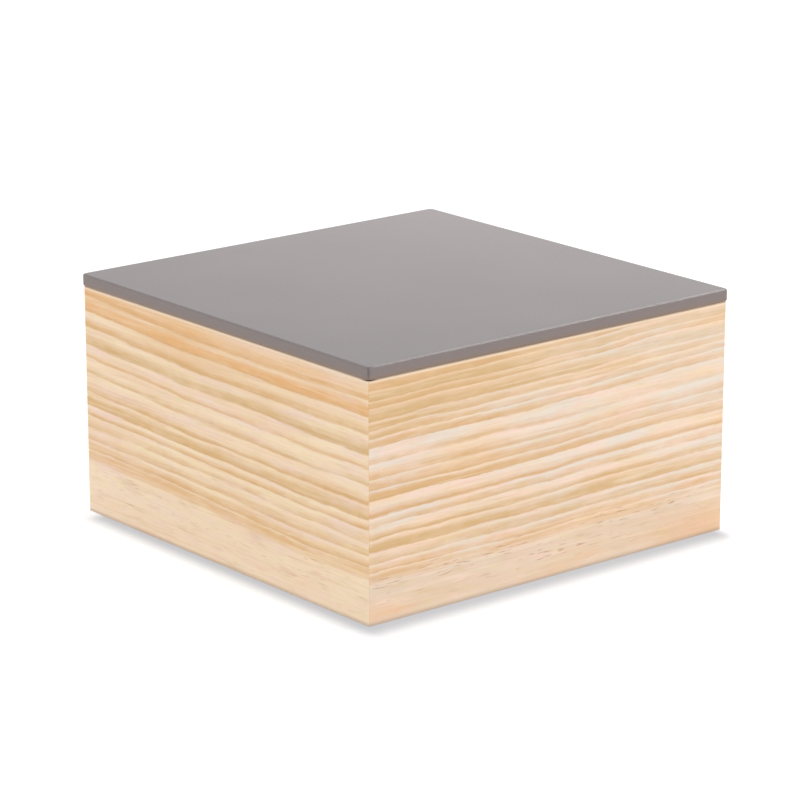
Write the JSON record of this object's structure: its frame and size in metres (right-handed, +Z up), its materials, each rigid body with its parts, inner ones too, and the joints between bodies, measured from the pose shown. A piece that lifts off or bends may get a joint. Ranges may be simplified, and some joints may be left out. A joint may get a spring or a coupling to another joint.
{
  "type": "wooden box",
  "caption": "Square pine box with mitred corners, a grooved-in base and a thin grey painted lid that lifts off.",
  "frame": {"origin": "centre of the footprint, on the surface that the box stands on", "axes": "+Z up out of the lid, -Y out of the front wall, +X out of the right wall"},
  "size_m": [0.1812, 0.1812, 0.099],
  "materials": {
    "pine": "sanded, clear matt finish",
    "plywood": "sanded, bare",
    "lid_paint": "satin taupe-grey paint",
    "pin_steel": "bright drawn wire"
  },
  "bodies": {
    "case": {"front_wall": "pine", "right_wall": "pine", "back_wall": "pine", "left_wall": "pine", "base_panel": "plywood", "corner_tongue_front_left": "plywood", "corner_tongue_front_right": "plywood", "corner_tongue_back_left": "plywood", "corner_tongue_back_right": "plywood"},
    "lid": {"lid_panel": "lid_paint", "lid_batten_front": "pine", "lid_batten_right": "pine", "lid_batten_back": "pine", "lid_batten_left": "pine", "lid_pin_front_1": "pin_steel", "lid_pin_front_2": "pin_steel", "lid_pin_right_1": "pin_steel", "lid_pin_right_2": "pin_steel", "lid_pin_back_1": "pin_steel", "lid_pin_back_2": "pin_steel", "lid_pin_left_1": "pin_steel", "lid_pin_left_2": "pin_steel"}
  },
  "joints": [
    {"name": "lid_lift", "type": "slide", "parent": "case", "child": "lid", "axis": [0, 0, 1], "range_m": [0, 0.1]}
  ]
}
